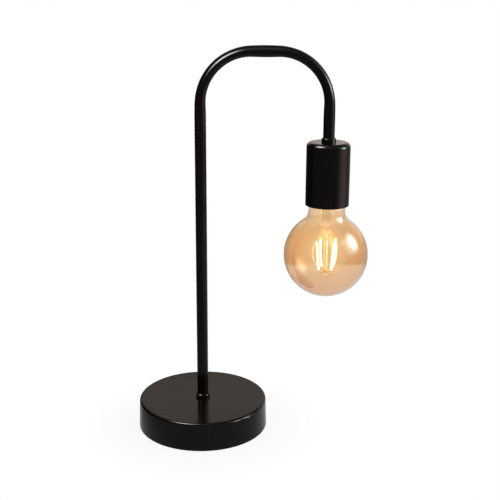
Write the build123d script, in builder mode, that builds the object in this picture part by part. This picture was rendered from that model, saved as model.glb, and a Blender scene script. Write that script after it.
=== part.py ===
from build123d import *
from math import atan2, cos, degrees, pi, radians, sin, sqrt
import os

# Table lamp: a weighted drum base, one bent tube, a cup and a bare globe bulb.
# The origin is the centre of the base on the table, in millimetres. +Z is up, the arm
# reaches along +X, and the mains lead enters at the back of the base, on the +Y side.

# Driving dimensions: base
base_height = 28.5
base_top_diameter = 125.0
base_flare = 0.8
base_wall = 1.0
base_edge_radius = 2.2
rim_gap = 1.0
pad_thickness = 2.0
pad_inset = 3.5
plate_thickness = 1.0
plate_gap = 0.4
weight_thickness = 12.0
weight_gap = 0.6
weight_chamfer = 1.6
boss_count = 3
boss_circle_diameter = 84.0
boss_diameter = 10.0
plate_screw_diameter = 4.0
plate_screw_length = 8.0
plate_screw_head_diameter = 7.0
plate_screw_head_height = 1.2
plate_screw_edge_radius = 0.6
cross_recess_length = 3.8
cross_recess_width = 0.9
cross_recess_depth = 0.8

# Driving dimensions: rubber bush for a round mains lead of 6 mm
bush_bore_diameter = 6.2
bush_neck_diameter = 8.6
bush_flange_diameter = 11.0
bush_flange_thickness = 1.7
bush_edge_radius = 0.7

# Driving dimensions: bent tube and its fixings
arm_reach = 118.5
arch_height = 366.5
bend_radius = 47.5
bend_flattening = 1.1
bend_onset_power = 8
bend_steps = 12
tube_diameter = 10.8
tube_bore_diameter = 8.0
thread_diameter = 10.0
thread_chamfer = 0.4
collar_diameter = 13.5
collar_height = 4.0
collar_edge_radius = 1.3
washer_diameter = 18.0
washer_thickness = 0.8
nut_across_flats = 14.0
nut_height = 3.5
nut_corner_chamfer = 0.7
thread_overrun = 1.5

# Driving dimensions: cup
cup_drop = 82.0
cup_diameter = 41.0
cup_height = 59.5
cup_wall = 1.2
cup_shoulder_radius = 4.4
cup_lip_radius = 0.4

# Driving dimensions: lampholder
holder_gap = 0.8
holder_wall = 2.0
holder_neck_diameter = 14.5
holder_neck_height = 8.0
holder_dome_height = 9.0
holder_band_height = 2.0
spigot_length = 7.0
holder_ceiling_radius = 9.0
wire_bore_diameter = 8.0
core_flange_thickness = 5.0
core_headroom = 1.0
ledge_thickness = 2.5
skirt_recess = 3.5
skirt_lip_radius = 0.6
well_diameter = 23.0
well_height = 4.2
pocket_floor_thickness = 4.1
pocket_size = 8.0
pocket_offset = 9.2
grub_screw_diameter = 3.0
grub_screw_slot = 0.5

# Driving dimensions: contacts
strip_thickness = 0.5
strip_width = 5.0
shell_wall = 0.4
shell_flange_width = 1.8
shell_recess = 1.3
terminal_screw_diameter = 3.0
terminal_head_diameter = 5.6
terminal_head_height = 2.0
terminal_screw_length = 3.2

# Driving dimensions: bulb, a globe of 80 mm on a 26 mm Edison cap
globe_diameter = 80.0
bulb_length = 118.0
glass_wall = 0.8
neck_diameter = 34.4
neck_cove_radius = 12.0
shoulder_radius = 5.0
throat_radius = 3.0
throat_diameter = 24.4
shoulder_drop = 32.9
glass_in_cap = 5.1
cap_diameter = 26.2
cap_length = 26.0
cap_wall = 0.5
cap_mouth_diameter = 20.8
cap_shoulder_height = 2.3
insulator_height = 2.1
insulator_top_diameter = 8.8
tip_diameter = 7.2
tip_height = 1.4
tip_stem_diameter = 4.0
tip_edge_radius = 0.7
tip_in_well = 2.2

# Driving dimensions: glass foot, wires and filaments inside the bulb
foot_tube_diameter = 10.0
foot_tube_wall = 1.0
foot_tube_length = 15.0
foot_flare_height = 8.0
foot_flare_bow = 1.6
pinch_width = 10.0
pinch_thickness = 3.6
pinch_length = 5.0
pinch_blend = 3.6
pinch_corner_radius = 1.7
exhaust_diameter = 3.6
exhaust_bore_diameter = 2.2
exhaust_length = 20.0
rod_diameter = 3.0
rod_bead_diameter = 3.8
wire_diameter = 0.6
wire_spacing = 5.8
wire_drop = 2.0
wire_bead_diameter = 1.2
filament_angles = (32.0, 114.0, 215.0, 312.0)
filament_diameter = 1.6
filament_tab_diameter = 0.8
filament_tab_length = 1.4
cage_height = 31.0
cage_top_radius = 11.0
cage_bottom_radius = 7.5
arm_knee_height = 2.4
arm_bend_radius = 1.0
hub_diameter = 4.8
hub_height = 1.6
hub_drop = 4.2
board_width = 16.0
board_thickness = 1.2
board_height = 13.0
board_gap = 2.5
board_part_offset = 3.2
capacitor_diameter = 6.2
capacitor_height = 9.0
rectifier_size = 4.0
rectifier_depth = 2.0
board_lead_diameter = 0.8

# Named clearances
thread_fit = 0.1
bush_fit = 0.05
screw_fit = 0.2
running_fit = 0.3
plug_fit = 0.1
seal_gap = 0.05
contact_gap = 0.05
weld_gap = 0.1

# Levels and radii that follow from the sizes above
base_top_radius = base_top_diameter / 2
base_rim_radius = base_top_radius + base_flare
base_inner_top = base_height - base_wall
weight_underside = base_inner_top - weight_thickness
plate_top = pad_thickness + plate_thickness
weight_radius = base_top_radius - base_wall - weight_gap
thread_radius = thread_diameter / 2
thread_hole_radius = thread_radius + thread_fit
tube_radius = tube_diameter / 2
tube_bore_radius = tube_bore_diameter / 2
stem_shoulder = base_height + collar_height
stem_foot = weight_underside - washer_thickness - nut_height - thread_overrun
cup_top = arch_height - cup_drop
cup_mouth = cup_top - cup_height
cup_radius = cup_diameter / 2
drop_shoulder = cup_top + collar_height
holder_top = cup_top - cup_wall
holder_neck_foot = holder_top - holder_neck_height
holder_dome_foot = holder_neck_foot - holder_dome_height
holder_band_foot = holder_dome_foot - holder_band_height
spigot_foot = holder_band_foot - spigot_length
core_underside = spigot_foot - core_flange_thickness
core_top = holder_dome_foot - core_headroom
well_ceiling = core_underside + well_height
pocket_floor = well_ceiling + pocket_floor_thickness
holder_radius = cup_radius - cup_wall - holder_gap
skirt_bore_radius = holder_radius - holder_wall
spigot_radius = skirt_bore_radius - thread_fit
spigot_bore_radius = spigot_radius - holder_wall
skirt_foot = cup_mouth + skirt_recess
cap_radius = cap_diameter / 2
shell_bore_radius = cap_radius + running_fit
shell_radius = shell_bore_radius + shell_wall
ledge_bore_radius = shell_radius + running_fit
tip_top = core_underside + tip_in_well
globe_radius = globe_diameter / 2
globe_level = tip_top - bulb_length + globe_radius

drop_plane = Plane(origin=(arm_reach, 0, 0), x_dir=(1, 0, 0), z_dir=(0, -1, 0))
drop_axis = Axis((arm_reach, 0, 0), (0, 0, 1))
pieces = []


def level(height):
    """Horizontal plane centred on the axis of the drop leg."""
    return Plane(origin=(arm_reach, 0, height))


def cover_radius(height):
    """Outer radius of the base's flared side at a height above the table."""
    return base_top_radius + base_flare * (base_height - height) / (base_height - rim_gap)


def finish(builder, label):
    """Label a finished piece and keep it for export."""
    builder.part.label = label
    pieces.append(builder.part)


# Base cover: drum pressed from sheet, open below, with the tube's hole and the bush's hole
bush_height = (plate_top + weight_underside) / 2
wall_at_bush = cover_radius(bush_height)
bush_hole_radius = bush_neck_diameter / 2 + bush_fit
with BuildPart() as base_cover:
    with BuildSketch(Plane.XZ):
        with BuildLine():
            Polyline(
                (0, rim_gap),
                (base_rim_radius, rim_gap),
                (base_top_radius, base_height),
                (0, base_height),
                close=True,
            )
        make_face()
    revolve(axis=Axis.Z)
    fillet(base_cover.edges().group_by(Axis.Z)[-1], radius=base_edge_radius)
    offset(amount=-base_wall, openings=base_cover.faces().sort_by(Axis.Z)[0])
    with BuildSketch(Plane.XY.offset(base_height)):
        Circle(thread_hole_radius)
    extrude(amount=-2 * base_wall, mode=Mode.SUBTRACT)
    with BuildSketch(Plane.XZ.offset(-base_rim_radius)):
        with Locations((0, bush_height)):
            Circle(bush_hole_radius)
    extrude(amount=4 * base_wall, mode=Mode.SUBTRACT)
finish(base_cover, "base_cover")

# Base weight: cast disc under the cover's top, with bosses that reach down to the plate
with BuildPart() as base_weight:
    with BuildSketch(Plane.XY.offset(weight_underside)):
        Circle(weight_radius)
    extrude(amount=weight_thickness)
    chamfer(base_weight.edges().group_by(Axis.Z)[-1], length=weight_chamfer)
    with BuildSketch(Plane.XY.offset(plate_top)):
        with PolarLocations(boss_circle_diameter / 2, boss_count):
            Circle(boss_diameter / 2)
    extrude(amount=weight_underside - plate_top)
    with BuildSketch(Plane.XY.offset(weight_underside)):
        Circle(thread_hole_radius + screw_fit)
    extrude(amount=weight_thickness, mode=Mode.SUBTRACT)
    with BuildSketch(Plane.XY.offset(plate_top)):
        with PolarLocations(boss_circle_diameter / 2, boss_count):
            Circle(plate_screw_diameter / 2 + screw_fit)
    extrude(amount=plate_screw_length, mode=Mode.SUBTRACT)
finish(base_weight, "base_weight")

# Base plate: steel disc inside the rim, screwed to the bosses
plate_radius = cover_radius(plate_top) - base_wall - plate_gap
with BuildPart() as base_plate:
    with BuildSketch(Plane.XY.offset(pad_thickness)):
        Circle(plate_radius)
        with PolarLocations(boss_circle_diameter / 2, boss_count):
            Circle(plate_screw_diameter / 2 + screw_fit, mode=Mode.SUBTRACT)
    extrude(amount=plate_thickness)
finish(base_plate, "base_plate")

# Plate screws: rounded heads with a cross recess, reached through holes in the pad
plate_screw_foot = pad_thickness - plate_screw_head_height
with BuildPart() as plate_screws:
    with BuildSketch(Plane.XY.offset(pad_thickness)):
        with PolarLocations(boss_circle_diameter / 2, boss_count):
            Circle(plate_screw_head_diameter / 2)
    extrude(amount=-plate_screw_head_height)
    fillet(plate_screws.edges().group_by(Axis.Z)[0], radius=plate_screw_edge_radius)
    with BuildSketch(Plane.XY.offset(plate_screw_foot)):
        with PolarLocations(boss_circle_diameter / 2, boss_count):
            Rectangle(cross_recess_length, cross_recess_width)
            Rectangle(cross_recess_width, cross_recess_length)
    extrude(amount=cross_recess_depth, mode=Mode.SUBTRACT)
    with BuildSketch(Plane.XY.offset(pad_thickness)):
        with PolarLocations(boss_circle_diameter / 2, boss_count):
            Circle(plate_screw_diameter / 2)
    extrude(amount=plate_screw_length)
finish(plate_screws, "plate_screws")

# Base pad: foam disc that the lamp stands on
with BuildPart() as base_pad:
    with BuildSketch():
        Circle(plate_radius - pad_inset)
        with PolarLocations(boss_circle_diameter / 2, boss_count):
            Circle(plate_screw_head_diameter / 2 + 2 * screw_fit, mode=Mode.SUBTRACT)
    extrude(amount=pad_thickness)
finish(base_pad, "base_pad")

# Cable bush: a rubber grommet whose groove follows the curve and slope of the wall
bush_outer_face = wall_at_bush + bush_flange_thickness
bush_length = 2 * bush_flange_thickness + base_wall
groove_inner = -base_wall - bush_fit
groove_outer = bush_fit
with BuildPart() as cable_bush:
    with BuildSketch(Plane.XZ.offset(-bush_outer_face)):
        with Locations((0, bush_height)):
            Circle(bush_flange_diameter / 2)
    extrude(amount=bush_length)
    fillet(cable_bush.faces().sort_by(Axis.Y)[-1].edges(), radius=bush_edge_radius)
    with BuildSketch(Plane.XZ):
        with BuildLine():
            Polyline(
                (base_rim_radius + groove_inner, rim_gap),
                (base_rim_radius + groove_outer, rim_gap),
                (base_top_radius + groove_outer, base_height),
                (base_top_radius + groove_inner, base_height),
                close=True,
            )
        make_face()
    revolve(axis=Axis.Z, mode=Mode.SUBTRACT)
    with BuildSketch(Plane.XZ.offset(-bush_outer_face + bush_edge_radius)):
        with Locations((0, bush_height)):
            Circle(bush_neck_diameter / 2)
    extrude(amount=bush_length - 2 * bush_edge_radius)
    with BuildSketch(Plane.XZ.offset(-bush_outer_face)):
        with Locations((0, bush_height)):
            Circle(bush_bore_diameter / 2)
    extrude(amount=bush_length, mode=Mode.SUBTRACT)
finish(cable_bush, "cable_bush")


def tube_outline(radius):
    """Solid bar along the tube's whole way, pressed a little oval in each bend."""
    crown_middle = arm_reach / 2
    bend_foot = arch_height - crown_middle
    with BuildPart() as bar:
        with BuildLine():
            way = FilletPolyline(
                (0, 0, bend_foot),
                (0, 0, arch_height),
                (crown_middle, 0, arch_height),
                radius=bend_radius,
            )
        # Round at both ends of the way, and fully oval over most of the bend between them
        for step in range(bend_steps + 1):
            share = step / bend_steps
            change = bend_flattening / 2 * (1 - abs(cos(pi * share)) ** bend_onset_power)
            cut = Plane(origin=way @ share, x_dir=(0, 1, 0), z_dir=way % share)
            with BuildSketch(cut):
                Ellipse(radius + change, radius - change)
        sweep(multisection=True)
        mirror(about=Plane.YZ.offset(crown_middle))
        with BuildSketch(Plane.XY.offset(stem_shoulder)):
            Circle(radius)
        extrude(amount=bend_foot - stem_shoulder)
        with BuildSketch(level(drop_shoulder)):
            Circle(radius)
        extrude(amount=bend_foot - drop_shoulder)
    return bar.part


# Stem tube: one tube bent twice, with a turned-down threaded length at each end
thread_top_end = holder_top - holder_neck_height
with BuildPart() as stem_tube:
    add(tube_outline(tube_radius))
    add(tube_outline(tube_bore_radius), mode=Mode.SUBTRACT)
    with BuildSketch(Plane.XY.offset(stem_foot)):
        Circle(thread_radius)
        Circle(tube_bore_radius, mode=Mode.SUBTRACT)
    extrude(amount=stem_shoulder - stem_foot)
    with BuildSketch(level(thread_top_end)):
        Circle(thread_radius)
        Circle(tube_bore_radius, mode=Mode.SUBTRACT)
    extrude(amount=drop_shoulder - thread_top_end)
    foot_edge = stem_tube.edges().filter_by(GeomType.CIRCLE).group_by(Axis.Z)[0]
    chamfer(foot_edge.sort_by(SortBy.RADIUS)[-1], length=thread_chamfer)
finish(stem_tube, "stem_tube")

# Collars: the same round ring nut at the base and at the cup
for label, plane in (
    ("foot_collar", Plane.XY.offset(base_height)),
    ("cup_collar", level(cup_top)),
):
    with BuildPart() as collar:
        with BuildSketch(plane):
            Circle(collar_diameter / 2)
            Circle(thread_hole_radius, mode=Mode.SUBTRACT)
        extrude(amount=collar_height)
        top_edges = collar.edges().group_by(Axis.Z)[-1]
        fillet(top_edges.sort_by(SortBy.RADIUS)[-1], radius=collar_edge_radius)
    finish(collar, label)

# Washer and nut under the weight
washer_foot = weight_underside - washer_thickness
with BuildPart() as stem_washer:
    with BuildSketch(Plane.XY.offset(washer_foot)):
        Circle(washer_diameter / 2)
        Circle(thread_hole_radius, mode=Mode.SUBTRACT)
    extrude(amount=washer_thickness)
finish(stem_washer, "stem_washer")

nut_foot = washer_foot - nut_height
nut_flat_radius = nut_across_flats / 2
nut_corner_radius = nut_flat_radius / cos(radians(30))
with BuildPart() as stem_nut:
    with BuildSketch(Plane.XY.offset(nut_foot)):
        RegularPolygon(nut_flat_radius, 6, major_radius=False)
        Circle(thread_hole_radius, mode=Mode.SUBTRACT)
    extrude(amount=nut_height)
    with BuildSketch(Plane.XZ):
        with BuildLine():
            Polyline(
                (0, nut_foot),
                (nut_flat_radius, nut_foot),
                (nut_corner_radius, nut_foot + nut_corner_chamfer),
                (nut_corner_radius, washer_foot - nut_corner_chamfer),
                (nut_flat_radius, washer_foot),
                (0, washer_foot),
                close=True,
            )
        make_face()
    revolve(axis=Axis.Z, mode=Mode.INTERSECT)
finish(stem_nut, "stem_nut")

# Socket cup: drawn cylinder, closed above with a rounded shoulder, open below
with BuildPart() as socket_cup:
    with BuildSketch(level(cup_mouth)):
        Circle(cup_radius)
    extrude(amount=cup_height)
    fillet(socket_cup.edges().group_by(Axis.Z)[-1], radius=cup_shoulder_radius)
    offset(amount=-cup_wall, openings=socket_cup.faces().sort_by(Axis.Z)[0])
    with BuildSketch(level(cup_top)):
        Circle(thread_hole_radius)
    extrude(amount=-2 * cup_wall, mode=Mode.SUBTRACT)
    fillet(socket_cup.edges().group_by(Axis.Z)[0], radius=cup_lip_radius)
finish(socket_cup, "socket_cup")

# Lampholder cap: threaded neck, domed shoulder and a spigot that the skirt screws on
neck_radius = holder_neck_diameter / 2
wire_bore_radius = wire_bore_diameter / 2
stop_level = thread_top_end - screw_fit
ceiling_level = stop_level - core_headroom
grub_level = holder_top - holder_neck_height / 2
grub_radius = grub_screw_diameter / 2
with BuildPart() as holder_cap:
    with BuildSketch(drop_plane):
        with BuildLine():
            Polyline(
                (holder_radius, holder_dome_foot),
                (holder_radius, holder_band_foot),
                (spigot_radius, holder_band_foot),
                (spigot_radius, spigot_foot),
                (spigot_bore_radius, spigot_foot),
                (spigot_bore_radius, holder_dome_foot),
                (holder_ceiling_radius, ceiling_level),
                (wire_bore_radius, ceiling_level),
                (wire_bore_radius, stop_level),
                (thread_hole_radius, stop_level),
                (thread_hole_radius, holder_top),
                (neck_radius, holder_top),
                (neck_radius, holder_neck_foot),
            )
            EllipticalCenterArc(
                center=(neck_radius, holder_dome_foot),
                x_radius=holder_radius - neck_radius,
                y_radius=holder_dome_height,
                start_angle=0,
                arc_size=90,
            )
        make_face()
    revolve(axis=drop_axis)
    with BuildSketch(drop_plane):
        with Locations((0, grub_level)):
            Circle(grub_radius + thread_fit)
    extrude(amount=neck_radius, mode=Mode.SUBTRACT)
finish(holder_cap, "holder_cap")

# Grub screw: locks the lampholder on the tube's thread
with BuildPart() as grub_screw:
    with BuildSketch(drop_plane.offset(thread_hole_radius)):
        with Locations((0, grub_level)):
            Circle(grub_radius)
    extrude(amount=neck_radius - thread_hole_radius - grub_screw_slot)
    with BuildSketch(grub_screw.faces().sort_by(Axis.Y)[0]):
        Rectangle(grub_screw_diameter, grub_screw_slot)
    extrude(amount=-grub_screw_slot, mode=Mode.SUBTRACT)
finish(grub_screw, "grub_screw")

# Lampholder core: flange clamped by the spigot, well below, two terminal pockets above
shell_strip_offset = well_diameter / 2 + shell_flange_width / 2 + strip_thickness / 4
centre_riser_offset = pocket_offset - pocket_size / 2 + strip_thickness
slot_width = strip_width + 2 * screw_fit
slot_thickness = strip_thickness + 2 * screw_fit
with BuildPart() as holder_core:
    with BuildSketch(level(core_underside)):
        Circle(skirt_bore_radius - running_fit)
    extrude(amount=core_flange_thickness)
    with BuildSketch(level(spigot_foot)):
        Circle(spigot_bore_radius - running_fit)
    extrude(amount=core_top - spigot_foot)
    with BuildSketch(level(core_underside)):
        Circle(well_diameter / 2)
    extrude(amount=well_height, mode=Mode.SUBTRACT)
    with BuildSketch(level(core_top)):
        with Locations((pocket_offset, 0), (-pocket_offset, 0)):
            Rectangle(pocket_size, pocket_size)
    extrude(amount=pocket_floor - core_top, mode=Mode.SUBTRACT)
    with BuildSketch(level(pocket_floor)):
        with Locations((pocket_offset, 0), (-pocket_offset, 0)):
            Circle(terminal_screw_diameter / 2 + thread_fit)
    extrude(amount=-terminal_screw_length, mode=Mode.SUBTRACT)
    with BuildSketch(level(core_underside)):
        with Locations((shell_strip_offset, 0), (-centre_riser_offset, 0)):
            Rectangle(slot_thickness, slot_width)
    extrude(amount=pocket_floor - core_underside, mode=Mode.SUBTRACT)
finish(holder_core, "holder_core")

# Lampholder skirt: sleeve screwed on the spigot, with a ledge that carries core and shell
with BuildPart() as holder_skirt:
    with BuildSketch(drop_plane):
        with BuildLine():
            Polyline(
                (skirt_bore_radius, holder_band_foot),
                (holder_radius, holder_band_foot),
                (holder_radius, skirt_foot),
                (skirt_bore_radius, skirt_foot),
                (skirt_bore_radius, core_underside - ledge_thickness),
                (ledge_bore_radius, core_underside - ledge_thickness),
                (ledge_bore_radius, core_underside),
                (skirt_bore_radius, core_underside),
                close=True,
            )
        make_face()
    revolve(axis=drop_axis)
    fillet(holder_skirt.edges().group_by(Axis.Z)[0], radius=skirt_lip_radius)
finish(holder_skirt, "holder_skirt")

# Screw shell: sheet sleeve with an inward flange under the core
shell_foot = skirt_foot + shell_recess
shell_flange_radius = shell_bore_radius - shell_flange_width
with BuildPart() as screw_shell:
    with BuildSketch(drop_plane):
        with BuildLine():
            Polyline(
                (shell_bore_radius, shell_foot),
                (shell_radius, shell_foot),
                (shell_radius, core_underside),
                (shell_flange_radius, core_underside),
                (shell_flange_radius, core_underside - shell_wall),
                (shell_bore_radius, core_underside - shell_wall),
                close=True,
            )
        make_face()
    revolve(axis=drop_axis)
finish(screw_shell, "screw_shell")

# Contact strips: bent from one strip each, from the terminal pocket to where they touch
tab_level = pocket_floor + strip_thickness / 2
tab_end = pocket_offset + pocket_size / 2 - strip_thickness
tongue_level = tip_top + contact_gap + strip_thickness / 2
tongue_root = well_ceiling - strip_thickness
centre_path = (
    (-tab_end, tab_level),
    (-centre_riser_offset, tab_level),
    (-centre_riser_offset, tongue_root),
    (0, tongue_level),
    (tip_diameter / 2, tongue_level + strip_thickness),
)
shell_path = (
    (pocket_offset - pocket_size / 2 + strip_thickness, tab_level),
    (shell_strip_offset, tab_level),
    (shell_strip_offset, core_underside),
)
for label, path, side in (
    ("centre_contact", centre_path, -1),
    ("shell_contact", shell_path, 1),
):
    with BuildPart() as contact:
        with BuildSketch(drop_plane):
            with BuildLine():
                Polyline(*path)
            trace(line_width=strip_thickness)
            if side > 0:
                with Locations((0, core_underside)):
                    Rectangle(
                        2 * holder_radius,
                        2 * strip_thickness,
                        align=(Align.CENTER, Align.MAX),
                        mode=Mode.SUBTRACT,
                    )
        extrude(amount=strip_width / 2, both=True)
        with BuildSketch(level(tab_level - strip_thickness)):
            with Locations((side * pocket_offset, 0)):
                Circle(terminal_screw_diameter / 2 + screw_fit)
        extrude(amount=2 * strip_thickness, mode=Mode.SUBTRACT)
    finish(contact, label)

# Terminal screws: heads on the strips' tabs, shanks in the core
head_foot = pocket_floor + strip_thickness
with BuildPart() as terminal_screws:
    with BuildSketch(level(head_foot)):
        with Locations((pocket_offset, 0), (-pocket_offset, 0)):
            Circle(terminal_head_diameter / 2)
    extrude(amount=terminal_head_height)
    with BuildSketch(level(head_foot)):
        with Locations((pocket_offset, 0), (-pocket_offset, 0)):
            Circle(terminal_screw_diameter / 2)
    extrude(amount=-terminal_screw_length)
    with BuildSketch(level(head_foot + terminal_head_height)):
        with Locations((pocket_offset, 0), (-pocket_offset, 0)):
            Rectangle(grub_screw_slot, terminal_head_diameter)
    extrude(amount=-grub_screw_slot, mode=Mode.SUBTRACT)
finish(terminal_screws, "terminal_screws")

# Bulb glass: sphere, cove, short neck, shoulder and throat, as two parallel outlines
cap_rim = tip_top - cap_length
glass_top = cap_rim + glass_in_cap
shoulder_level = tip_top - shoulder_drop
throat_span = throat_radius + shoulder_radius
neck_step = (neck_diameter - throat_diameter) / 2
throat_level = shoulder_level + sqrt(throat_span**2 - (throat_span - neck_step) ** 2)
shoulder_angle = degrees(atan2(throat_level - shoulder_level, throat_span - neck_step))
cove_offset = neck_diameter / 2 + neck_cove_radius
cove_rise = sqrt((globe_radius + neck_cove_radius) ** 2 - cove_offset**2)
cove_angle = degrees(atan2(cove_rise, cove_offset))


def envelope(inset, top):
    """Half outline of the glass, moved inwards by inset, closed on the axis."""
    throat = throat_diameter / 2 - inset
    neck = neck_diameter / 2 - inset
    with BuildLine() as outline:
        Line((0, top), (throat, top))
        Line((throat, top), (throat, throat_level))
        CenterArc(
            (throat_diameter / 2 + throat_radius, throat_level),
            throat_radius + inset,
            180,
            shoulder_angle,
        )
        CenterArc(
            (neck_diameter / 2 - shoulder_radius, shoulder_level),
            shoulder_radius - inset,
            shoulder_angle,
            -shoulder_angle,
        )
        Line((neck, shoulder_level), (neck, globe_level + cove_rise))
        CenterArc(
            (cove_offset, globe_level + cove_rise),
            neck_cove_radius + inset,
            180,
            cove_angle,
        )
        CenterArc((0, globe_level), globe_radius - inset, cove_angle, -cove_angle - 90)
        Line((0, globe_level - globe_radius + inset), (0, top))
    return outline


with BuildPart() as bulb_glass:
    with BuildSketch(drop_plane):
        add(envelope(0, glass_top).line)
        make_face()
    revolve(axis=drop_axis)
    with BuildSketch(drop_plane):
        add(envelope(glass_wall, glass_top + glass_wall).line)
        make_face()
    revolve(axis=drop_axis, mode=Mode.SUBTRACT)
finish(bulb_glass, "bulb_glass")

# Bulb cap: sheet cylinder of the thread's outer diameter with a sloped shoulder
cap_top = tip_top - tip_height - insulator_height
cap_corner = cap_top - cap_shoulder_height
cap_mouth_radius = cap_mouth_diameter / 2
with BuildPart() as bulb_cap:
    with BuildSketch(drop_plane):
        with BuildLine():
            Polyline(
                (cap_radius - cap_wall, cap_rim),
                (cap_radius, cap_rim),
                (cap_radius, cap_corner),
                (cap_mouth_radius, cap_top),
                (cap_mouth_radius, cap_top - cap_wall),
                (cap_radius - cap_wall, cap_corner - cap_wall),
                close=True,
            )
        make_face()
    revolve(axis=drop_axis)
finish(bulb_cap, "bulb_cap")

# Cap insulator: a cone that fills the cap's end and carries the centre contact
insulator_foot = cap_top - 2 * cap_wall
insulator_bore_radius = tip_stem_diameter / 2 + plug_fit
with BuildPart() as cap_insulator:
    with BuildSketch(drop_plane):
        with BuildLine():
            Polyline(
                (insulator_bore_radius, insulator_foot),
                (cap_mouth_radius - seal_gap, insulator_foot),
                (cap_mouth_radius - seal_gap, cap_top),
                (insulator_top_diameter / 2, cap_top + insulator_height),
                (insulator_bore_radius, cap_top + insulator_height),
                close=True,
            )
        make_face()
    revolve(axis=drop_axis)
finish(cap_insulator, "cap_insulator")

# Bulb contact: domed button on a short stem
tip_foot = tip_top - tip_height + contact_gap
with BuildPart() as bulb_contact:
    with BuildSketch(level(tip_foot)):
        Circle(tip_diameter / 2)
    extrude(amount=tip_top - tip_foot)
    fillet(bulb_contact.edges().group_by(Axis.Z)[-1], radius=tip_edge_radius)
    with BuildSketch(level(insulator_foot)):
        Circle(tip_stem_diameter / 2)
    extrude(amount=tip_foot - insulator_foot)
finish(bulb_contact, "bulb_contact")

# Driver board: upright in the cap, with its parts and the lead to the centre contact
board_top = insulator_foot - board_gap
board_foot = board_top - board_height
with BuildPart() as driver_board:
    with BuildSketch(level(board_foot)):
        Rectangle(board_width, board_thickness)
    extrude(amount=board_height)
    with BuildSketch(level(board_foot + board_gap)):
        with Locations((board_part_offset, (board_thickness + capacitor_diameter) / 2)):
            Circle(capacitor_diameter / 2)
        with Locations((board_part_offset, board_thickness / 2)):
            Rectangle(capacitor_diameter / 2, board_thickness)
    extrude(amount=capacitor_height)
    with BuildSketch(level(board_foot + board_gap)):
        with Locations((-board_part_offset, -(board_thickness + rectifier_depth) / 2)):
            Rectangle(rectifier_size, rectifier_depth)
    extrude(amount=rectifier_size)
    with BuildSketch(level(board_top)):
        Circle(board_lead_diameter / 2)
    extrude(amount=board_gap - contact_gap)
finish(driver_board, "driver_board")

# Glass foot: flare sealed in the neck, tube, flat pinch, exhaust tube and central rod
flare_top = throat_level + seal_gap
flare_foot = flare_top - foot_flare_height
flare_radius = throat_diameter / 2 - glass_wall - seal_gap
foot_tube_radius = foot_tube_diameter / 2
foot_bore_radius = foot_tube_radius - foot_tube_wall
pinch_top = flare_foot - foot_tube_length
pinch_level = pinch_top - pinch_blend
pinch_foot = pinch_level - pinch_length
cage_top = globe_level + cage_height / 2
cage_foot = globe_level - cage_height / 2
rod_foot = cage_foot - hub_drop
wire_offset = wire_spacing / 2
wire_hole_radius = wire_diameter / 2 + seal_gap
with BuildPart() as bulb_stem:
    with BuildSketch(drop_plane):
        with BuildLine():
            Line((foot_bore_radius, pinch_top), (foot_tube_radius, pinch_top))
            Line((foot_tube_radius, pinch_top), (foot_tube_radius, flare_foot))
            ThreePointArc(
                (foot_tube_radius, flare_foot),
                (foot_tube_radius + foot_flare_bow, (flare_foot + flare_top) / 2),
                (flare_radius, flare_top),
            )
            Line((flare_radius, flare_top), (flare_radius - foot_tube_wall, flare_top))
            ThreePointArc(
                (flare_radius - foot_tube_wall, flare_top),
                (foot_bore_radius + foot_flare_bow, (flare_foot + flare_top) / 2),
                (foot_bore_radius, flare_foot),
            )
            Line((foot_bore_radius, flare_foot), (foot_bore_radius, pinch_top))
        make_face()
    revolve(axis=drop_axis)
    with BuildSketch(level(pinch_top)):
        Circle(foot_tube_radius)
    with BuildSketch(level(pinch_level)):
        RectangleRounded(pinch_width, pinch_thickness, pinch_corner_radius)
    loft()
    with BuildSketch(level(pinch_level)):
        RectangleRounded(pinch_width, pinch_thickness, pinch_corner_radius)
    extrude(amount=-pinch_length)
    with BuildSketch(level(pinch_foot)):
        Circle(rod_diameter / 2)
    extrude(amount=rod_foot - pinch_foot)
    with BuildSketch(drop_plane):
        with BuildLine():
            CenterArc((0, rod_foot), rod_bead_diameter / 2, -90, 180)
            Line(
                (0, rod_foot + rod_bead_diameter / 2),
                (0, rod_foot - rod_bead_diameter / 2),
            )
        make_face()
    revolve(axis=drop_axis)
    with BuildSketch(level(pinch_top)):
        Circle(exhaust_diameter / 2)
        Circle(exhaust_bore_diameter / 2, mode=Mode.SUBTRACT)
    extrude(amount=exhaust_length)
    with BuildSketch(level(pinch_top)):
        with Locations((wire_offset, 0), (-wire_offset, 0)):
            Circle(wire_hole_radius)
    extrude(amount=pinch_foot - pinch_top, mode=Mode.SUBTRACT)
finish(bulb_stem, "bulb_stem")


def cage_point(angle, radius, height):
    """Point of the filament cage at an angle about the bulb's axis."""
    turn = radians(angle)
    return Vector(arm_reach + radius * cos(turn), radius * sin(turn), height)


# Lead wires: from the board through the pinch, each with a bead and two arms
bead_level = pinch_foot - wire_drop
wire_top = board_foot - contact_gap
arm_foot = cage_top + weld_gap
with BuildPart() as lead_wires:
    with BuildSketch(level(bead_level)):
        with Locations((wire_offset, 0), (-wire_offset, 0)):
            Circle(wire_diameter / 2)
    extrude(amount=wire_top - bead_level)
    with Locations(
        (arm_reach + wire_offset, 0, bead_level),
        (arm_reach - wire_offset, 0, bead_level),
    ):
        Sphere(wire_bead_diameter / 2)
    for angle in filament_angles:
        side = 1 if cos(radians(angle)) > 0 else -1
        root = Vector(arm_reach + side * wire_offset, 0, bead_level)
        knee = cage_point(angle, cage_top_radius, arm_foot + arm_knee_height)
        end = cage_point(angle, cage_top_radius, arm_foot)
        with BuildLine():
            arm = FilletPolyline(root, knee, end, radius=arm_bend_radius)
        with BuildSketch(Plane(origin=arm @ 0, z_dir=arm % 0)):
            Circle(wire_diameter / 2)
        sweep(path=arm)
finish(lead_wires, "lead_wires")

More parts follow.
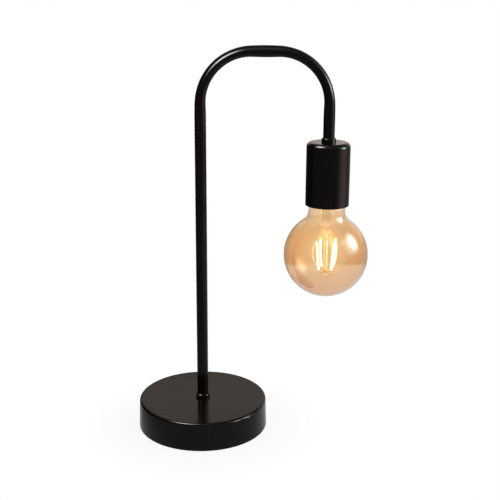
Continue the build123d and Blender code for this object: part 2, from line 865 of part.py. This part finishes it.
# Filaments: straight sticks with a thin metal tab at each end
for number, angle in enumerate(filament_angles, start=1):
    top = cage_point(angle, cage_top_radius, cage_top)
    foot = cage_point(angle, cage_bottom_radius, cage_foot)
    length = (top - foot).length
    stick = Plane(origin=foot, z_dir=top - foot)
    with BuildPart() as filament:
        with BuildSketch(stick):
            Circle(filament_tab_diameter / 2)
        extrude(amount=length)
        with BuildSketch(stick.offset(filament_tab_length)):
            Circle(filament_diameter / 2)
        extrude(amount=length - 2 * filament_tab_length)
    finish(filament, f"filament_{number}")

# Lower support: a sleeve above the rod's bead with one bent arm for each filament
hub_foot = rod_foot + rod_bead_diameter / 2
hub_middle = hub_foot + hub_height / 2
sleeve_bore_radius = rod_diameter / 2 + seal_gap
arm_root_radius = (hub_diameter / 2 + sleeve_bore_radius) / 2
with BuildPart() as lower_support:
    with BuildSketch(level(hub_foot)):
        Circle(hub_diameter / 2)
        Circle(sleeve_bore_radius, mode=Mode.SUBTRACT)
    extrude(amount=hub_height)
    for angle in filament_angles:
        root = cage_point(angle, arm_root_radius, hub_middle)
        knee = cage_point(angle, cage_bottom_radius, hub_middle)
        end = cage_point(angle, cage_bottom_radius, cage_foot - weld_gap)
        with BuildLine():
            arm = FilletPolyline(root, knee, end, radius=arm_bend_radius)
        with BuildSketch(Plane(origin=arm @ 0, z_dir=arm % 0)):
            Circle(wire_diameter / 2)
        sweep(path=arm)
finish(lower_support, "lower_support")

os.makedirs("parts", exist_ok=True)
for piece in pieces:
    export_step(piece, f"parts/{piece.label}.step")
print(len(pieces), "pieces")
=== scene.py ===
from math import cos, pi, radians, sin, tan

import bpy
from mathutils import Matrix, Vector


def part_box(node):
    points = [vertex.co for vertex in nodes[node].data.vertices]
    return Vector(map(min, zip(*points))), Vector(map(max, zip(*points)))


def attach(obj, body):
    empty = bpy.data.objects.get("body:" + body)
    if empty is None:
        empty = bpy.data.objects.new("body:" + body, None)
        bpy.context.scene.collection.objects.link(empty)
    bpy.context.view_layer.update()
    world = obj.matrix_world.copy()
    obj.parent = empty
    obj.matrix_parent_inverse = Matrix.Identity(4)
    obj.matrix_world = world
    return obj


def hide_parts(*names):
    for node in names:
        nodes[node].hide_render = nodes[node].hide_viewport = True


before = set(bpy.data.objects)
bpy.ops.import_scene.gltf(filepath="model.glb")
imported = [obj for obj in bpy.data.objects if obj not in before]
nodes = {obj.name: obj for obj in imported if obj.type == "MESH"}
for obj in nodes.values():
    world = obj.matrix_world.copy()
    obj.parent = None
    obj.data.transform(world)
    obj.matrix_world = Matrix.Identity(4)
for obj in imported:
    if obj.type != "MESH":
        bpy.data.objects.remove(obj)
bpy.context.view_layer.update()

# Looks of the arched table lamp. Lengths are in metres in the frame of the CAD part:
# origin under the middle of the base, +Z up, +X along the arm, +Y to the back.
MM = 0.001
scene = bpy.context.scene
cup_low, cup_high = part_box("socket_cup")
drop_x = (cup_low.x + cup_high.x) / 2
bulb_low, bulb_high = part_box("bulb_glass")
globe_radius = (bulb_high.x - bulb_low.x) / 2
globe_level = bulb_low.z + globe_radius
pinch_depth, pinch_length = 23 * MM, 8.6 * MM
pinch_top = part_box("bulb_stem")[1].z - pinch_depth
pinch_foot = pinch_top - pinch_length
sight_slope = 0.276  # fall of the photograph's line of sight at the globe
noise_range = (0.3, 0.7)  # that nearly all of a noise lies in


# Node trees
class Tree:
    """A node tree, and short calls to add to it."""

    def __init__(self, tree):
        self.tree = tree

    def link(self, value, socket):
        """Connect a socket, or write a plain value."""
        if isinstance(value, bpy.types.NodeSocket):
            self.tree.links.new(value, socket)
        elif isinstance(value, tuple) and len(value) == 3 and len(socket.default_value) == 4:
            socket.default_value = (*value, 1)
        else:
            socket.default_value = value

    def add(self, kind, inputs=(), **settings):
        node = self.tree.nodes.new(kind)
        for key, value in settings.items():
            setattr(node, key, value)
        for socket, value in dict(inputs).items():
            self.link(value, node.inputs[socket])
        return node

    def math(self, operation, first, second):
        return self.add("ShaderNodeMath", {0: first, 1: second}, operation=operation).outputs[0]

    def span(self, source, low, high, to_low=0.0, to_high=1.0, smooth=False):
        """Source from low..high mapped to to_low..to_high, clamped."""
        values = {"Value": source, "From Min": low, "From Max": high}
        kind = "SMOOTHSTEP" if smooth else "LINEAR"
        values.update({"To Min": to_low, "To Max": to_high})
        return self.add("ShaderNodeMapRange", values, interpolation_type=kind).outputs["Result"]

    def mix(self, factor, first, second, blend="MIX"):
        """Colour between first and second; each may be a colour or a socket."""
        inputs = {0: factor, 6: first, 7: second}
        node = self.add("ShaderNodeMix", inputs, data_type="RGBA", blend_type=blend)
        return node.outputs[2]


class Finish(Tree):
    """A material with one Principled shader, laid out in object space."""

    def __init__(self, name, color, roughness, **sockets):
        self.material = bpy.data.materials.new(name)
        self.material.use_nodes = True
        super().__init__(self.material.node_tree)
        self.shader = self.tree.nodes["Principled BSDF"]
        self.output = self.tree.nodes["Material Output"]
        self.put("Base Color", color)
        self.put("Roughness", roughness)
        for socket, value in sockets.items():
            self.put(socket.replace("_", " "), value)
        self.coords = self.add("ShaderNodeTexCoord").outputs["Object"]

    def put(self, socket, value):
        self.link(value, self.shader.inputs[socket])

    def noise(self, scale, detail=2.0, rough=0.5):
        """Noise in object space, nearly all of it in noise_range."""
        inputs = {"Vector": self.coords, "Scale": scale, "Detail": detail, "Roughness": rough}
        return self.add("ShaderNodeTexNoise", inputs).outputs["Fac"]

    def cloud(self, scale, detail=2.0):
        """Noise spread over 0 to 1."""
        return self.span(self.noise(scale, detail), *noise_range)

    def bump(self, height, distance, strength=1.0):
        inputs = {"Height": height, "Distance": distance, "Strength": strength}
        self.put("Normal", self.add("ShaderNodeBump", inputs).outputs["Normal"])

    def let_lamps_through(self, tint):
        """For shadow rays the glass is a plain tint, so that lamps light what is inside."""
        path = self.add("ShaderNodeLightPath")
        clear = self.add("ShaderNodeBsdfTransparent", {"Color": tint})
        shaders = {1: self.shader.outputs[0], 2: clear.outputs[0]}
        blend = self.add("ShaderNodeMixShader", {0: path.outputs["Is Shadow Ray"], **shaders})
        self.link(blend.outputs[0], self.output.inputs["Surface"])


def dress(material, *names):
    """Give CAD nodes a material in every slot."""
    for name in names:
        for slot in nodes[name].material_slots:
            slot.material = material


# Finishes
def black_paint():
    """Black paint, smooth and low in gloss head-on, with a faint warm cloud and fine grain."""
    m = Finish("black_paint", (0.003, 0.0025, 0.002), 0.17, Specular_IOR_Level=0.125)
    m.put("Base Color", m.mix(m.cloud(28.0, 4.0), (0.0026, 0.0021, 0.0016), (0.0036, 0.003, 0.0024)))
    m.put("Roughness", m.span(m.noise(190.0, 3.0), *noise_range, 0.14, 0.2))
    m.bump(m.noise(900.0, 3.0, 0.4), 0.000004, 0.5)
    return m.material


def amber_glass():
    """Glass with a thin gold lustre: paler at the neck, denser seen edge on, and paler face on from a
    painted glow of the filaments.

    Its paler, pinker lower part is the lustre with a painted reflection of the pale floor laid over it; it
    leans, so that front and back wall change on one line in the photograph.
    """
    m = Finish("amber_glass", (1, 1, 1), 0.0, IOR=1.54, Transmission_Weight=1.0)
    lean = {0: m.coords, 1: (0.0, sight_slope, 1.0)}
    level = m.add("ShaderNodeVectorMath", lean, operation="DOT_PRODUCT").outputs["Value"]
    up = m.span(level, bulb_low.z, globe_level + globe_radius)
    up = m.math("ADD", up, m.span(m.noise(24.0), 0.35, 0.65, -0.006, 0.006))
    lustre_and_painted_reflection = m.add("ShaderNodeValToRGB", {"Fac": up})
    stops = lustre_and_painted_reflection.color_ramp.elements
    stops[0].position, stops[0].color = 0.0, (0.854, 0.663, 0.493, 1)
    stops[1].position, stops[1].color = 1.0, (0.9, 0.76, 0.6, 1)
    # Below the line between the parts, the lustre carries a painted reflection of the pale floor
    middle_stops = (
        (0.125, (0.836, 0.642, 0.488)),
        (0.225, (0.84, 0.643, 0.481)),
        (0.355, (0.872, 0.68, 0.52)),  # just below the line between the parts
        (0.385, (0.794, 0.548, 0.332)),  # and just above it
        (0.425, (0.8, 0.555, 0.335)),
        (0.55, (0.857, 0.606, 0.374)),
        (0.675, (0.8775, 0.62, 0.374)),
        (0.8, (0.874, 0.648, 0.422)),
    )
    for position, color in middle_stops:
        stop = stops.new(position)
        stop.color = (*color, 1)
    # Face on, a painted glow of the filaments pales the tint; edge on, the glass is denser
    facing = m.add("ShaderNodeLayerWeight", {"Blend": 0.5}).outputs["Facing"]
    painted_glow_face_on = m.span(facing, 0.04, 0.2, 0.6, 0.0, smooth=True)
    edge_on = m.span(facing, 0.4, 1.0, smooth=True)
    tint = m.mix(painted_glow_face_on, lustre_and_painted_reflection.outputs["Color"], (0.97, 0.79, 0.54))
    tint = m.mix(edge_on, tint, (0.62, 0.42, 0.26))
    m.put("Base Color", tint)
    m.let_lamps_through(tint)
    return m.material


def clear_glass():
    """Drawn glass of the foot, with slight waves, and a painted glow on its pinch and its rod's edges that
    stands for the filaments' light.
    """
    m = Finish("clear_glass", (0.99, 0.97, 0.93), 0.0, IOR=1.28, Transmission_Weight=1.0)
    m.bump(m.noise(160.0, 1.0), 0.0002, 0.4)
    height = m.add("ShaderNodeSeparateXYZ", {"Vector": m.coords}).outputs["Z"]
    blend = 1.5 * MM
    # Painted glow on the pinch, standing for the light of the filaments on it
    pinch = m.span(height, pinch_foot - blend, pinch_foot)
    for factor in (  # bright at the foot, dim further up, dark from the top on, and uneven
        m.span(height, pinch_foot + 3 * blend, pinch_foot + blend, 0.08, 1.0),
        m.span(height, pinch_top + blend, pinch_top - blend),
        m.span(m.noise(420.0), 0.4, 0.6, 0.05, 0.4),
    ):
        pinch = m.math("MULTIPLY", pinch, factor)
    # Painted glow on the rod's edges below the pinch, also standing for the filaments' light
    edge = m.add("ShaderNodeLayerWeight", {"Blend": 0.5}).outputs["Facing"]
    below = m.span(height, pinch_foot, pinch_foot - blend)
    rod = m.math("MULTIPLY", m.span(edge, 0.25, 0.8, 0.1, 0.6), below)
    m.put("Emission Color", (1.0, 0.62, 0.2))
    m.put("Emission Strength", m.math("ADD", pinch, rod))
    m.let_lamps_through((0.98, 0.96, 0.92))
    return m.material


def painted_glow_gilt_finish():
    """Gilt strip with a painted, uneven glow that stands for the light of the filaments round it."""
    m = Finish("gilt_strip_painted_glow", (1.0, 0.7, 0.28), 0.35, Metallic=1.0)
    m.put("Base Color", m.mix(m.cloud(260.0), (1.0, 0.7, 0.28), (0.75, 0.45, 0.14)))
    # Painted glow: emission in place of the filaments' light on the strip
    m.put("Emission Color", (1.0, 0.7, 0.3))
    m.put("Emission Strength", m.span(m.noise(500.0), 0.35, 0.65, 0.2, 0.85))
    m.bump(m.noise(960.0), 0.00001, 0.4)
    return m.material


def lit_phosphor():
    """Lit phosphor: a faint grain in an even glow."""
    m = Finish("lit_phosphor", (0.9, 0.72, 0.3), 0.5, Specular_IOR_Level=0.3)
    m.put("Emission Color", m.mix(m.cloud(900.0), (1.0, 0.94, 0.72), (1.0, 0.88, 0.6)))
    m.put("Emission Strength", 5.5)
    m.bump(m.noise(1400.0), 0.00003, 0.5)
    return m.material


def metal(name, color, dark, rough=(0.22, 0.36), scale=240.0):
    """Plated or bright metal with slight tarnish and fine handling marks."""
    m = Finish(name, color, rough[0], Metallic=1.0)
    tarnish = m.span(m.noise(scale * 0.3, 4.0), 0.4, 0.75)
    m.put("Base Color", m.mix(tarnish, color, dark))
    m.put("Roughness", m.span(m.noise(scale, 3.0), *noise_range, *rough))
    m.bump(m.noise(scale * 4), 0.00001, 0.4)
    return m.material


def moulded(name, color, light, rough, grain=700.0, depth=0.00002):
    """Moulded plastic, rubber or ceramic: a slight colour cloud, and grain."""
    m = Finish(name, color, rough, Specular_IOR_Level=0.4)
    m.put("Base Color", m.mix(m.cloud(60.0, 3.0), color, light))
    m.put("Roughness", m.span(m.noise(grain * 0.4), *noise_range, rough - 0.06, rough + 0.08))
    m.bump(m.noise(grain), depth, 0.6)
    return m.material


paint = black_paint()
amber = amber_glass()
clear = clear_glass()
steel = metal("zinc_steel", (0.6, 0.6, 0.58), (0.38, 0.38, 0.37))
brass = metal("brass", (0.78, 0.56, 0.26), (0.5, 0.34, 0.14))
cap_metal = metal("cap_metal", (0.72, 0.7, 0.66), (0.5, 0.47, 0.42), (0.16, 0.3))
wire_metal = metal("support_wire", (0.95, 0.8, 0.52), (0.75, 0.56, 0.32), (0.35, 0.5))
painted_glow_gilt = painted_glow_gilt_finish()
iron = metal("cast_iron", (0.2, 0.2, 0.2), (0.1, 0.09, 0.09), (0.5, 0.7), 500.0)
rubber = moulded("black_rubber", (0.015, 0.015, 0.015), (0.024, 0.023, 0.022), 0.6)
foam = moulded("foam_rubber", (0.02, 0.02, 0.02), (0.035, 0.035, 0.035), 0.9, 1200.0, 0.0004)
plastic = moulded("black_plastic", (0.016, 0.015, 0.015), (0.022, 0.021, 0.02), 0.42)
porcelain = moulded("porcelain", (0.78, 0.76, 0.7), (0.84, 0.82, 0.77), 0.2, 200.0)
vitrite = moulded("vitrite", (0.01, 0.01, 0.013), (0.02, 0.02, 0.025), 0.15, 200.0)
board = moulded("circuit_board", (0.03, 0.12, 0.05), (0.05, 0.17, 0.07), 0.35, 500.0)
phosphor = lit_phosphor()

dress(paint, "base_cover", "stem_tube", "foot_collar", "cup_collar", "socket_cup")
dress(steel, "base_plate", "plate_screws", "stem_washer", "stem_nut", "grub_screw")
dress(iron, "base_weight")
dress(foam, "base_pad")
dress(rubber, "cable_bush")
dress(plastic, "holder_cap", "holder_skirt")
dress(porcelain, "holder_core")
dress(brass, "screw_shell", "centre_contact", "shell_contact", "terminal_screws", "bulb_contact")
dress(amber, "bulb_glass")
dress(cap_metal, "bulb_cap")
dress(vitrite, "cap_insulator")
dress(board, "driver_board")
dress(clear, "bulb_stem")
dress(wire_metal, "lead_wires", "lower_support")


# Pieces made here
def lathe(name, material, rings, sides, place):
    """Closed skin over rings of points, each ring a function of the turn that gives a point."""
    points = [ring(2 * pi * side / sides) for ring in rings for side in range(sides)]
    faces = []
    for ring in range(len(rings) - 1):
        for side in range(sides):
            first, second = ring * sides + side, ring * sides + (side + 1) % sides
            faces.append((first, second, second + sides, first + sides))
    mesh = bpy.data.meshes.new(name)
    mesh.from_pydata(points, [], faces)
    mesh.polygons.foreach_set("use_smooth", [True] * len(faces))
    mesh.materials.append(material)
    piece = bpy.data.objects.new(name, mesh)
    scene.collection.objects.link(piece)
    piece.matrix_world = place
    return piece


def ring_at(radius, height):
    """Plain circle of a radius at a height."""
    return lambda turn: (radius * cos(turn), radius * sin(turn), height)


# Bulb cap: rolled right-hand thread between a plain rim and the sloped shoulder
cap_low, cap_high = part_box("bulb_cap")
thread_pitch = 3.629 * MM
thread_depth = 0.75 * MM
thread_rows = 60
crest_power = 0.8
crest_radius = (cap_high.x - cap_low.x) / 2
root_radius = crest_radius - thread_depth
band_share = 0.6  # of the thread's depth, where the skin is plain
band_radius = root_radius + (crest_radius - root_radius) * band_share
band_height = 5.6 * MM
rim_height, rim_blend = 0.3 * MM, 0.8 * MM
cap_height, shoulder_height = cap_high.z - cap_low.z, 2.3 * MM
corner_level = cap_height - shoulder_height
mouth_radius = 10.4 * MM
mouth_round, mouth_drop = 0.3 * MM, 0.1 * MM
sheet = 0.35 * MM
cap_sides = 96


def thread_ring(height, inset):
    """Ring of the thread's skin; the thread fades out at both ends."""

    def point(turn):
        phase = 2 * pi * height / thread_pitch - turn
        swell = (0.5 + 0.5 * cos(phase)) ** crest_power
        ends = min((height - band_height) / (thread_pitch / 2), (corner_level - height) / (thread_pitch / 4))
        fade = min(max(ends, 0.0), 1.0)
        share = swell * fade + (1 - fade) * band_share
        radius = root_radius + (crest_radius - root_radius) * share - inset
        return (radius * cos(turn), radius * sin(turn), height)

    return point


threaded = [
    band_height + (corner_level - band_height) * row / thread_rows for row in range(thread_rows + 1)
]
outer = [ring_at(crest_radius, 0.0), ring_at(crest_radius, rim_height), ring_at(band_radius, rim_blend)]
outer += [thread_ring(height, 0.0) for height in threaded]
outer += [ring_at(mouth_radius + mouth_round, cap_height - mouth_drop), ring_at(mouth_radius, cap_height)]
inner = [ring_at(mouth_radius, cap_height - sheet)]
inner += [thread_ring(height, sheet) for height in reversed(threaded)]
inner += [ring_at(band_radius - sheet, rim_blend), ring_at(crest_radius - sheet, 0.0)]
cap_place = Matrix.Translation((drop_x, 0, cap_low.z))
bulb_thread = lathe("threaded_cap", cap_metal, outer + inner + outer[:1], cap_sides, cap_place)
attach(bulb_thread, "bulb")
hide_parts("bulb_cap")

# Filaments: a coated stick with soft ends, and a flat metal tab at each end
coat_radius, tip_radius = 0.85 * MM, 0.02 * MM
soft_end = 0.9 * MM
ripple_size, ripple_length = 0.04, 1.3 * MM
coat_bows = (3.2 * MM, 0.8 * MM, 0.7 * MM, 0.0)  # outward, largest below mid length
bow_power = 0.8
coat_rings, coat_sides = 36, 20
coat_shares = [0.5 - 0.5 * cos(pi * ring / coat_rings) for ring in range(coat_rings + 1)]
tab_length, tab_hidden = 1.1 * MM, 0.4 * MM
tab_reach = tab_length + tab_hidden
tab_width, tab_thickness = 0.55 * MM, 0.18 * MM
tab_outline = ((0.0, 0.02), (0.05, 1.0), (0.3, 0.92), (0.6, 0.92), (0.95, 1.0), (1.0, 0.02))
tab_squareness = 1.4
tab_sides = 16
end_depth = 0.3 * MM


def end_points(node):
    """Middles of the foot and the top of a stick-like CAD node."""
    spots = [node.matrix_world @ vertex.co for vertex in node.data.vertices]
    low, high = min(spot.z for spot in spots), max(spot.z for spot in spots)
    ends = []
    for level in (low, high):
        near = [spot for spot in spots if abs(spot.z - level) < end_depth]
        ends.append(sum(near, Vector()) / len(near))
    return ends


def tab_ring(along, grow):
    """Ring of a tab: a circle drawn out and cut off to a flat shape."""
    return lambda turn: (
        grow * tab_width * max(-1, min(1, tab_squareness * cos(turn))),
        grow * tab_thickness * max(-1, min(1, tab_squareness * sin(turn))),
        along,
    )


for number, coat_bow in enumerate(coat_bows, 1):
    name = f"filament_{number}"
    stick_foot, stick_top = end_points(nodes[name])
    length = (stick_top - stick_foot).length
    lean = (stick_top - stick_foot).to_track_quat("Z", "Y").to_matrix().to_4x4()
    outward = lean.inverted() @ Vector((stick_top.x - drop_x, stick_top.y, 0)).normalized()
    stick_place = Matrix.Translation(stick_foot) @ lean

    def coat_ring(share):
        """Ring of the stick, which bows outward and has soft ends."""
        along = tab_length + (length - 2 * tab_length) * share
        near_end = min(share, 1 - share) * (length - 2 * tab_length)
        round_off = min(near_end / soft_end, 1.0)
        round_off = (1 - (1 - round_off) ** 2) ** 0.5
        ripple = 1 + ripple_size * sin(along / ripple_length + 2 * number)
        radius = max(coat_radius * round_off * ripple, tip_radius)
        bow = coat_bow * sin(pi * (along / length) ** bow_power)
        return lambda turn: (
            radius * cos(turn) + bow * outward.x,
            radius * sin(turn) + bow * outward.y,
            along,
        )

    rings = [coat_ring(share) for share in coat_shares]
    stick = lathe(f"lit_stick_{number}", phosphor, rings, coat_sides, stick_place)

    for part, start in (("foot", 0.0), ("top", length - tab_length - tab_hidden)):
        rings = [tab_ring(start + tab_reach * at, grow) for at, grow in tab_outline]
        tab = lathe(f"{part}_tab_{number}", wire_metal, rings, tab_sides, stick_place)
        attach(tab, "bulb")
    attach(stick, "bulb")
    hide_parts(name)

# Feed strips: two rows of waved strip round the glass foot, each in a right and a left half
strip_radius = 6.8 * MM
strip_half_height = 0.9 * MM
strip_thickness = 0.35 * MM
strip_edge, strip_edge_steps = 0.08 * MM, 2
strip_wave = 0.4 * MM
strip_waves = 4
strip_steps = 40
strip_corners = ((0, -1), (1, -1), (1, 1), (0, 1))  # outward and upward
upper_level, lower_level = pinch_foot - 2.2 * MM, pinch_foot - 4.5 * MM
strips = (
    ("upper_right", upper_level, radians(-81), radians(63)),
    ("upper_left", upper_level, radians(99), radians(261)),
    ("lower_right", lower_level, radians(-85), radians(67)),
    ("lower_left", lower_level, radians(95), radians(265)),
)
for side, strip_level, first_turn, last_turn in strips:
    points, faces = [], []
    for step in range(strip_steps + 1):
        share = step / strip_steps
        turn = first_turn + (last_turn - first_turn) * share
        lift = strip_wave * sin(2 * pi * strip_waves * share)
        for reach, rise in strip_corners:
            radius = strip_radius + reach * strip_thickness
            height = strip_level + lift + rise * strip_half_height
            points.append((drop_x + radius * cos(turn), radius * sin(turn), height))
    for step in range(strip_steps):
        for corner in range(4):
            first, second = 4 * step + corner, 4 * step + (corner + 1) % 4
            faces.append((first, second, second + 4, first + 4))
    faces += [(3, 2, 1, 0), tuple(4 * strip_steps + corner for corner in range(4))]
    strip_mesh = bpy.data.meshes.new(f"feed_strip_{side}")
    strip_mesh.from_pydata(points, [], faces)
    strip_mesh.materials.append(painted_glow_gilt)
    strip = bpy.data.objects.new(f"feed_strip_{side}", strip_mesh)
    scene.collection.objects.link(strip)
    rounding = strip.modifiers.new("edges", "BEVEL")
    rounding.width = strip_edge
    rounding.segments = strip_edge_steps
    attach(strip, "bulb")


def white_paper():
    """Pale paper: to the camera and through glass mostly an even white, in gloss a dimmer one."""
    m = Finish("paper", (0.82, 0.82, 0.815), 0.9, Specular_IOR_Level=0.1)
    m.put("Base Color", m.mix(m.cloud(2.0), (0.815, 0.815, 0.81), (0.83, 0.83, 0.825)))
    rays = m.add("ShaderNodeLightPath").outputs
    apart = m.add("ShaderNodeVectorMath", {0: m.coords}, operation="LENGTH").outputs["Value"]
    place = m.add("ShaderNodeSeparateXYZ", {0: m.coords}).outputs
    leftward = {0: m.coords, 1: (-1.0, 0.35, 0.0)}
    leftward = m.add("ShaderNodeVectorMath", leftward, operation="DOT_PRODUCT").outputs["Value"]

    # Share of even white over lit paper: less next to the base, where the shadow falls
    seen = m.math("MAXIMUM", rays["Is Camera Ray"], rays["Is Transmission Ray"])
    share = m.math("MULTIPLY", m.span(apart, 0.062, 0.12, 0.9, 1.0), seen)
    share = m.math("MAXIMUM", share, rays["Is Glossy Ray"])

    # Strength in gloss: more next to the base and at the right, less far to the left and behind,
    # with no loss behind where the paper stands up
    near = m.span(apart, 0.08, 0.4, 0.33, 0.0, smooth=True)
    near = m.math("MULTIPLY", near, m.span(leftward, 0.02, 0.12, 1.0, 0.0, smooth=True))
    mirrored = m.math("ADD", near, m.span(leftward, 0.15, 0.6, 0.34, 0.08, smooth=True))
    mirrored = m.math("ADD", mirrored, m.span(place["X"], 0.06, 0.3, 0.0, 0.5, smooth=True))
    behind = m.span(place["Y"], 0.15, 0.4, 1.0, 0.45, smooth=True)
    behind = m.math("MAXIMUM", behind, m.span(place["Z"], 0.0, 0.1))
    mirrored = m.math("MULTIPLY", mirrored, behind)

    only_mirrored = m.math("SUBTRACT", rays["Is Glossy Ray"], rays["Is Transmission Ray"])
    strength = m.add("ShaderNodeMix", {0: only_mirrored, 2: 1.0, 3: mirrored}).outputs[0]
    white = m.add("ShaderNodeEmission", {"Strength": strength})
    lit = m.add("ShaderNodeMixShader", {0: share, 1: m.shader.outputs[0], 2: white.outputs[0]})
    m.link(lit.outputs[0], m.output.inputs["Surface"])
    return m.material


# Stage: a pale paper sweep, wider at the back, that curves up behind the lamp
near_edge, back_edge, bend, top_edge = -0.75, 0.85, 0.25, 0.46
near_half, far_half = 0.42, 0.72
bend_steps = 16
rows = [(near_edge, 0.0)]
for step in range(bend_steps + 1):
    turn = pi / 2 * step / bend_steps
    rows.append((back_edge + bend * sin(turn), bend * (1 - cos(turn))))
rows.append((back_edge + bend, top_edge))
points, faces = [], []
for y, z in rows:
    half = near_half + (far_half - near_half) * (y - near_edge) / (back_edge - near_edge)
    points += [(drop_x / 2 - half, y, z), (drop_x / 2 + half, y, z)]
for row in range(len(rows) - 1):
    faces.append((2 * row, 2 * row + 1, 2 * row + 3, 2 * row + 2))
sweep_mesh = bpy.data.meshes.new("sweep")
sweep_mesh.from_pydata(points, [], faces)
sweep_mesh.polygons.foreach_set("use_smooth", [True] * len(faces))
sweep_mesh.materials.append(white_paper())
sweep = bpy.data.objects.new("sweep", sweep_mesh)
scene.collection.objects.link(sweep)

# World: a warm light wall behind, darkness at the left and a window at the right. It shows in gloss;
# the camera sees plain white, and so does a ray through glass wherever the room is darker
world = bpy.data.worlds.new("studio")
scene.world = world
world.use_nodes = True
room = Tree(world.node_tree)
toward = room.add("ShaderNodeTexCoord").outputs["Generated"]
way = room.add("ShaderNodeSeparateXYZ", {0: toward}).outputs


def part_of_room(*limits):
    """Soft-edged share of the directions, from (axis, outer, inner) limits."""
    inside = 1.0
    for axis, low, high in limits:
        inside = room.math("MULTIPLY", inside, room.span(way[axis], low, high, smooth=True))
    return inside


wall = part_of_room(("Y", 0.3, 0.75), ("Z", 0.0, 0.08), ("Z", 0.62, 0.4))
wall_color = room.mix(room.span(way["Z"], 0.2, 0.42), (1.3, 1.08, 0.94), (1.09, 0.91, 0.79))
dark_side = part_of_room(("X", -0.3, -0.65), ("Y", -0.5, 0.3))
window_width = (("X", 0.3, 0.6), ("Y", -0.62, -0.38), ("Y", 0.34, 0.1))
window = part_of_room(*window_width, ("Z", -0.04, 0.2), ("Z", 0.8, 0.6))
glare = room.mix(wall, (0.34, 0.31, 0.28), wall_color)
glare = room.mix(dark_side, glare, (0.05, 0.045, 0.04))
glare = room.mix(window, glare, (2.3, 2.8, 3.1))
rays = room.add("ShaderNodeLightPath").outputs
through = room.mix(1.0, glare, (1, 1, 1), "LIGHTEN")
shown = room.mix(rays["Is Transmission Ray"], glare, through)
shown = room.mix(rays["Is Camera Ray"], shown, (1, 1, 1))
room.link(shown, room.tree.nodes["Background"].inputs["Color"])

# Lamps, all round the middle of the part and turned to it
lamp_aim = Vector((drop_x / 2, 0, 0.2))
lamp_distance = 2.5


def disk_lamp(name, azimuth, elevation, reach, radiance, color, shines_on=None):
    """Round lamp that fades out to its edge; azimuth 0 is the camera's side, 90 the right.

    Its reach is half the angle that it spans, in degrees. One that shines on a set of pieces shows in
    their gloss alone.
    """
    radius = lamp_distance * tan(radians(reach))
    data = bpy.data.lights.new(name, "AREA")
    data.shape = "DISK"
    data.size = 2 * radius
    data.color = color
    data.energy = radiance * pi * pi * radius**2
    lamp = bpy.data.objects.new(name, data)
    scene.collection.objects.link(lamp)
    turn, rise = radians(azimuth), radians(elevation)
    away = Vector((sin(turn) * cos(rise), -cos(turn) * cos(rise), sin(rise)))
    lamp.location = lamp_aim + away * lamp_distance
    lamp.rotation_euler = away.to_track_quat("Z", "Y").to_euler()
    lamp.visible_camera = False
    lamp.visible_diffuse = shines_on is None
    lamp.light_linking.receiver_collection = shines_on
    data.use_nodes = True
    glowing = Tree(data.node_tree)
    spot = glowing.add("ShaderNodeNewGeometry").outputs["Position"]
    inputs = {0: spot, 1: tuple(lamp.location)}
    apart = glowing.add("ShaderNodeVectorMath", inputs, operation="DISTANCE").outputs["Value"]
    fade = glowing.span(apart, 0.0, radius, 1.0, 0.0, smooth=True)
    glowing.link(fade, glowing.tree.nodes["Emission"].inputs["Strength"])


def piece_set(name, *names):
    """Set of CAD nodes that a lamp may be kept to."""
    pieces = bpy.data.collections.new(name)
    for node in names:
        pieces.objects.link(nodes[node])
    return pieces


turned_nodes = ("foot_collar", "cup_collar", "socket_cup")
turned = piece_set("turned", *turned_nodes)
arch = piece_set("arch", "stem_tube")
foot = piece_set("foot", "base_cover")
raised = piece_set("raised", "stem_tube", *turned_nodes)
painted = piece_set("painted", "base_cover", "stem_tube", *turned_nodes)
glazed = piece_set("glazed", "bulb_glass", "bulb_stem")
# Name, azimuth, elevation, reach, radiance, colour, set of pieces
disk_lamp("overhead", 0, 60, 34, 1.7, (1.0, 0.97, 0.93))
disk_lamp("left_softbox", -66, 54, 26, 72, (1.0, 0.98, 0.96), turned)
disk_lamp("front_left_softbox", -39, 42, 24, 98, (1.0, 0.97, 0.95), arch)
disk_lamp("left_high_softbox", -56, 62, 20, 85, (1.0, 0.98, 0.96), foot)
disk_lamp("right_softbox", 84, 15, 19, 44, (1.0, 0.98, 0.97), raised)
disk_lamp("low_softbox", 83, 1, 9, 185, (1.0, 0.98, 0.97), foot)
disk_lamp("low_front_softbox", 62, 1, 9, 120, (1.0, 0.98, 0.97), foot)
disk_lamp("right_sheen", 80, -17, 37, 2.2, (1.0, 0.87, 0.8), painted)
disk_lamp("window_pane", 88, 25, 23, 12, (0.55, 0.8, 1.0), glazed)

# Camera
focal_length, sensor_width = 67.68, 36.0
camera_place = Vector((46.3, -862.0, 428.1)) * MM
camera_aim = Vector((46.275, 0.0, 180.32)) * MM
camera_roll = radians(0.281)
nearest_seen = 0.01
camera_data = bpy.data.cameras.new("camera")
camera_data.sensor_width = sensor_width
camera_data.lens = focal_length
camera_data.clip_start = nearest_seen
camera = bpy.data.objects.new("camera", camera_data)
scene.collection.objects.link(camera)
forward = (camera_aim - camera_place).normalized()
level_right = forward.cross(Vector((0, 0, 1))).normalized()
level_up = level_right.cross(forward)
right = level_right * cos(camera_roll) + level_up * sin(camera_roll)
up = level_up * cos(camera_roll) - level_right * sin(camera_roll)
camera.matrix_world = Matrix.Translation(camera_place) @ Matrix((right, up, -forward)).transposed().to_4x4()
scene.camera = camera

scene.view_settings.view_transform = "Standard"
